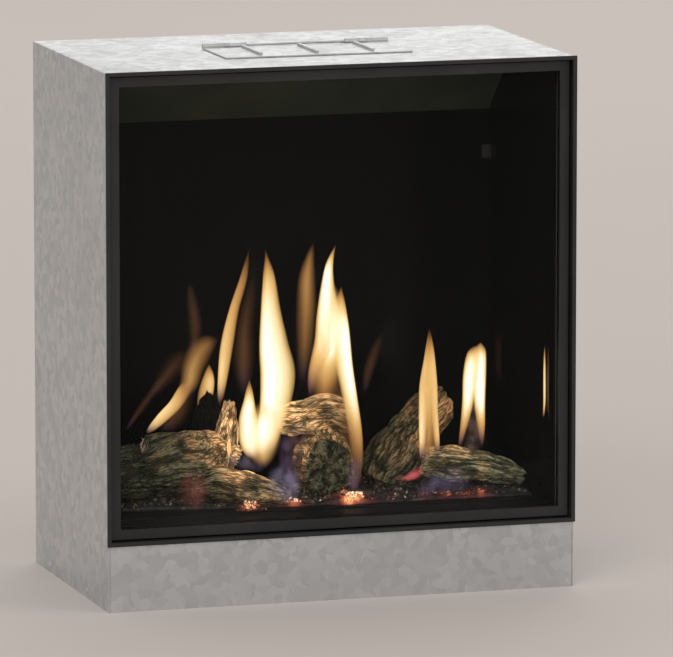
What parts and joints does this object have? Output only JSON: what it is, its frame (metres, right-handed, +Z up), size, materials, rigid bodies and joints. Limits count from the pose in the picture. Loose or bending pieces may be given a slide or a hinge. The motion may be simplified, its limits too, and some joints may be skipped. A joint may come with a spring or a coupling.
{
  "type": "gas fire",
  "caption": "Glass-fronted log-effect gas fire built into a wall: slim black edge frame, tilting window, black-lined firebox, logs on an ember bed, balanced flue.",
  "frame": {"origin": "centre of the bounding box on the underside of the case base", "axes": "+X to the viewer's right, +Y from the edge frame back towards the flue, +Z up"},
  "size_m": [0.516, 0.35, 0.5751],
  "materials": {
    "galvanised": "galvanised sheet, satin",
    "black_paint": "heat-proof black paint, satin",
    "black_glass": "polished black glass",
    "clear_glass": "clear ceramic glass",
    "rope": "woven glass rope",
    "ember": "loose vermiculite and ember chips",
    "bark": "painted ceramic fibre, bark relief",
    "charred": "painted ceramic fibre, charred",
    "steel": "bright steel",
    "brass": "machined brass",
    "copper": "drawn copper pipe",
    "cast_alloy": "die cast, matt",
    "black_plastic": "moulded, fine texture",
    "red_plastic": "moulded, gloss",
    "ceramic": "glazed insulator"
  },
  "bodies": {
    "case": {"case_left": "galvanised", "case_right": "galvanised", "case_base": "galvanised", "case_top": "galvanised", "case_back": "galvanised", "case_apron": "galvanised", "edge_frame": "black_paint", "window_hinge_rod": "steel", "window_catch": "black_paint", "firebox_flange": "black_paint", "firebox_floor": "black_paint", "firebox_ceiling": "black_paint", "firebox_wrap": "black_paint", "firebox_stand": "galvanised", "liner_left": "black_glass", "liner_right": "black_glass", "liner_back": "black_glass", "liner_clip_left": "steel", "liner_clip_right": "steel", "baffle": "black_paint", "relief_duct": "galvanised", "relief_hinge": "galvanised", "front_ledge": "black_paint", "burner_tray": "black_paint", "venturi_tube": "steel", "injector": "brass", "ember_bed": "ember", "log_left": "bark", "log_centre": "bark", "log_right_stump": "bark", "log_front_left": "bark", "log_bridge": "bark", "log_right_front": "bark", "log_branch": "bark", "log_charred": "charred", "gas_valve": "cast_alloy", "valve_bracket": "galvanised", "gas_tap": "brass", "supply_pipe": "copper", "burner_pipe": "copper", "receiver_box": "black_plastic", "pilot_bracket": "steel", "pilot_burner": "brass", "pilot_pipe": "copper", "spark_electrode": "ceramic", "thermocouple": "copper", "flue_box": "galvanised", "flue_inner_pipe": "steel", "flue_collar": "galvanised"},
    "window": {"window_frame": "black_paint", "window_glass": "clear_glass", "window_seal": "rope", "glass_bead": "black_paint"},
    "relief": {"relief_flap": "galvanised"},
    "shutter": {"air_shutter": "brass"},
    "flow_control": {"flow_knob": "black_plastic"},
    "manual_control": {"manual_knob": "black_plastic"},
    "igniter": {"igniter_button": "red_plastic"},
    "tap_handle": {"tap_lever": "steel"},
    "lid": {"battery_lid": "black_plastic"}
  },
  "joints": [
    {"name": "window_tilt", "type": "hinge", "parent": "case", "child": "window", "pos_m": [0, -0.162, 0.0789], "axis": [1, 0, 0], "range_deg": [0, 12]},
    {"name": "relief_lift", "type": "hinge", "parent": "case", "child": "relief", "pos_m": [0, 0.0013, 0.5721], "axis": [-1, 0, 0], "range_deg": [0, 60]},
    {"name": "shutter_turn", "type": "hinge", "parent": "case", "child": "shutter", "pos_m": [0, -0.025, 0.035], "axis": [0, 0, 1], "range_deg": [0, 40]},
    {"name": "flow_turn", "type": "hinge", "parent": "case", "child": "flow_control", "pos_m": [-0.129, -0.105, 0.0412], "axis": [0, -1, 0], "range_deg": [-270, 0]},
    {"name": "manual_turn", "type": "hinge", "parent": "case", "child": "manual_control", "pos_m": [-0.095, -0.105, 0.0412], "axis": [0, -1, 0], "range_deg": [-90, 0]},
    {"name": "igniter_push", "type": "slide", "parent": "case", "child": "igniter", "axis": [0, 1, 0], "range_m": [0, 0.003], "stiffness_N_per_m": 400, "springref_m": -0.003},
    {"name": "tap_turn", "type": "hinge", "parent": "case", "child": "tap_handle", "pos_m": [0.1, 0.0816, 0.052], "axis": [0, 0, 1], "range_deg": [0, 90]},
    {"name": "lid_slide", "type": "slide", "parent": "case", "child": "lid", "axis": [0, -1, 0], "range_m": [0, 0.018]}
  ]
}
